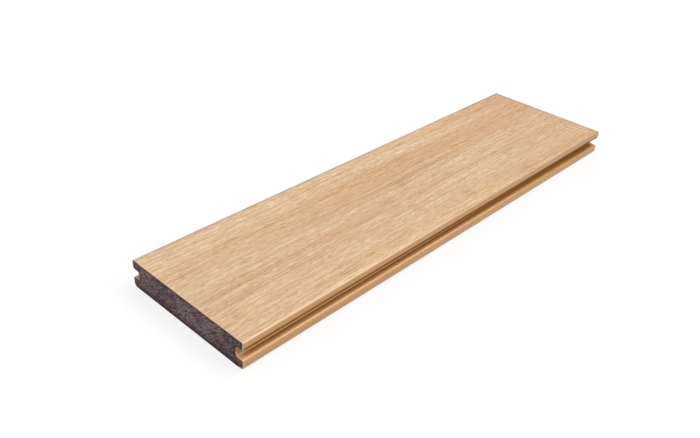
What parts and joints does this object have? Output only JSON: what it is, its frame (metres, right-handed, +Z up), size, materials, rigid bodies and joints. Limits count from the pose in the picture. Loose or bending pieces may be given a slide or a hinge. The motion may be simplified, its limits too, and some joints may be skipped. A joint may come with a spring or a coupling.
{
  "type": "decking board",
  "caption": "Short length of solid composite decking board: dark core under a wood-grain cap, with a fixing groove along each edge.",
  "frame": {"origin": "middle of the underside, level with what the board rests on", "axes": "X across the board, +Y along it towards the far sawn end, +Z up out of the walking face"},
  "size_m": [0.136, 0.508, 0.026],
  "materials": {
    "cap": "light oak brown with a pressed wood grain on the top, plain and a little more orange on the edges and in the grooves",
    "core": "dark violet brown, fibrous where it is sawn"
  },
  "bodies": {
    "root": {"cap_shell": "cap", "core": "core"}
  },
  "joints": []
}
